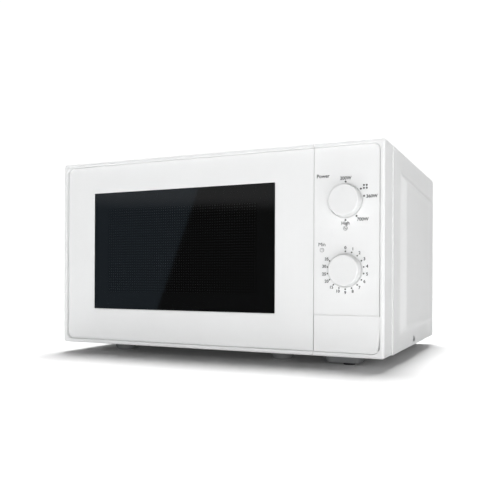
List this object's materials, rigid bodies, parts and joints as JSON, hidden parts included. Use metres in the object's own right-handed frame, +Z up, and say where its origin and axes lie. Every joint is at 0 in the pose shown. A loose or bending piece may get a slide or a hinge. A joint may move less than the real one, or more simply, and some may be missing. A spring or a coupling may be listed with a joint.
{
  "type": "microwave oven",
  "caption": "Countertop microwave oven with a side-hinged windowed door, a press-bar door release, a power dial, a timer dial and a glass turntable.",
  "frame": {"origin": "middle of the footprint, on the surface that the oven stands on", "axes": "+X to the right seen from the front, +Y towards the back, +Z up"},
  "size_m": [0.4464, 0.344, 0.255],
  "materials": {
    "white_plastic": "white injection-moulded ABS, satin with a very fine spark texture",
    "dial_plastic": "white moulded ABS, satin, slightly glossier than the face",
    "case_paint": "white powder-coated steel sheet, fine satin orange peel",
    "plate_paint": "white painted steel front plate",
    "cavity_paint": "light grey baked enamel paint",
    "zinc_steel": "zinc-coated sheet steel, faint spangle",
    "screw_steel": "zinc-plated screw, fine turned marks",
    "pan_paint": "black painted perforated door pan",
    "smoked_pane": "dark tinted glossy pane with a black printed border",
    "clear_film": "clear protective film, glossy",
    "tray_glass": "clear tempered glass with a green edge",
    "choke_plastic": "light grey moulded choke cover",
    "black_plastic": "black moulded plastic",
    "grey_plastic": "grey moulded timer housing",
    "nylon": "natural white nylon or acetal",
    "rubber": "black moulded rubber foot",
    "winding_copper": "enamelled copper wire",
    "laminations": "varnished steel laminations",
    "aluminium": "bare aluminium, rolled and drawn",
    "mica": "pressed mica sheet",
    "circuit_board": "green solder mask",
    "spring_steel": "drawn spring wire"
  },
  "bodies": {
    "oven": {"base_plate": "zinc_steel", "front_plate": "plate_paint", "cavity_box": "cavity_paint", "outer_case": "case_paint", "rear_panel": "zinc_steel", "front_foot": "rubber", "cord_inlet": "black_plastic", "side_screw_right": "screw_steel", "side_screw_left": "screw_steel", "rear_screw_left": "screw_steel", "rear_screw_right": "screw_steel", "hinge_bracket_top": "zinc_steel", "hinge_bracket_bottom": "zinc_steel", "control_panel": "white_plastic", "timer_unit": "grey_plastic", "button_spring": "spring_steel", "interlock_holder": "nylon", "primary_switch": "black_plastic", "secondary_switch": "black_plastic", "monitor_switch": "grey_plastic", "waveguide": "zinc_steel", "waveguide_cover": "mica", "magnetron_yoke": "zinc_steel", "magnetron_fins": "aluminium", "magnetron_filter_box": "zinc_steel", "transformer_core": "laminations", "primary_winding": "winding_copper", "secondary_winding": "winding_copper", "capacitor": "aluminium", "capacitor_clamp": "zinc_steel", "high_voltage_diode": "black_plastic", "filter_board": "circuit_board", "fan_housing": "black_plastic", "fan_motor": "laminations", "air_duct": "nylon", "cavity_lamp": "clear_film", "thermal_cutout": "black_plastic", "turntable_motor": "zinc_steel"},
    "door": {"door_frame": "white_plastic", "door_window": "smoked_pane", "door_screen": "pan_paint", "choke_cover": "choke_plastic", "door_inner_film": "clear_film", "door_hinge_pin_top": "screw_steel", "door_hinge_pin_bottom": "screw_steel", "latch_spring": "spring_steel"},
    "latch": {"latch_hooks": "nylon"},
    "power_dial": {"power_knob": "dial_plastic", "power_shaft": "nylon"},
    "timer_dial": {"timer_knob": "dial_plastic", "timer_shaft": "nylon"},
    "release_button": {"door_release_button": "white_plastic"},
    "lever": {"release_lever": "nylon"},
    "fan": {"fan_blade": "nylon"},
    "coupler": {"turntable_coupler": "nylon"},
    "tray": {"glass_tray": "tray_glass"},
    "ring": {"roller_ring": "nylon"},
    "wheel_1": {"roller_1": "nylon"},
    "wheel_2": {"roller_2": "nylon"},
    "wheel_3": {"roller_3": "nylon"}
  },
  "joints": [
    {"name": "door_swing", "type": "hinge", "parent": "oven", "child": "door", "pos_m": [-0.209, -0.1375, 0.134], "axis": [0, 0, -1], "range_deg": [0, 100]},
    {"name": "button_press", "type": "slide", "parent": "oven", "child": "release_button", "axis": [0, 1, 0], "range_m": [0, 0.005], "stiffness_N_per_m": 500, "springref_m": -0.004, "deforming": ["button_spring"]},
    {"name": "lever_tilt", "type": "hinge", "parent": "oven", "child": "lever", "pos_m": [0.137, -0.118, 0.047], "axis": [1, 0, 0], "range_deg": [0, 20.5]},
    {"name": "latch_slide", "type": "slide", "parent": "door", "child": "latch", "axis": [0, 0, 1], "range_m": [0, 0.004], "stiffness_N_per_m": 300, "springref_m": -0.004, "deforming": ["latch_spring"]},
    {"name": "power_turn", "type": "hinge", "parent": "oven", "child": "power_dial", "pos_m": [0.1755, -0.164, 0.1882], "axis": [0, 1, 0], "range_deg": [0, 180]},
    {"name": "timer_turn", "type": "hinge", "parent": "oven", "child": "timer_dial", "pos_m": [0.1755, -0.164, 0.1108], "axis": [0, 1, 0], "range_deg": [0, 300]},
    {"name": "fan_spin", "type": "hinge", "parent": "oven", "child": "fan", "pos_m": [0.165, 0.131, 0.145], "axis": [0, 1, 0], "continuous": true},
    {"name": "turntable_turn", "type": "hinge", "parent": "oven", "child": "coupler", "pos_m": [-0.041, 0.0188, 0.04], "axis": [0, 0, 1], "continuous": true},
    {"name": "tray_lift", "type": "slide", "parent": "coupler", "child": "tray", "axis": [0, 0, 1], "range_m": [0, 0.06]},
    {"name": "ring_turn", "type": "hinge", "parent": "oven", "child": "ring", "pos_m": [-0.041, 0.0188, 0.0436], "axis": [0, 0, 1], "continuous": true},
    {"name": "roller_spin_1", "type": "hinge", "parent": "ring", "child": "wheel_1", "pos_m": [-0.041, 0.1248, 0.0436], "axis": [0, 1, 0], "continuous": true},
    {"name": "roller_spin_2", "type": "hinge", "parent": "ring", "child": "wheel_2", "pos_m": [-0.1328, -0.0342, 0.0436], "axis": [-0.866, -0.5, 0], "continuous": true},
    {"name": "roller_spin_3", "type": "hinge", "parent": "ring", "child": "wheel_3", "pos_m": [0.0508, -0.0342, 0.0436], "axis": [0.866, -0.5, 0], "continuous": true}
  ],
  "couplings": [
    {"joint": "lever_tilt", "follows": "button_press", "rad_per_m": 71.4},
    {"joint": "latch_slide", "follows": "button_press", "ratio": 0.8},
    {"joint": "ring_turn", "follows": "turntable_turn", "ratio": 0.5},
    {"joint": "roller_spin_1", "follows": "turntable_turn", "ratio": -7.2603},
    {"joint": "roller_spin_2", "follows": "turntable_turn", "ratio": -7.2603},
    {"joint": "roller_spin_3", "follows": "turntable_turn", "ratio": -7.2603}
  ]
}
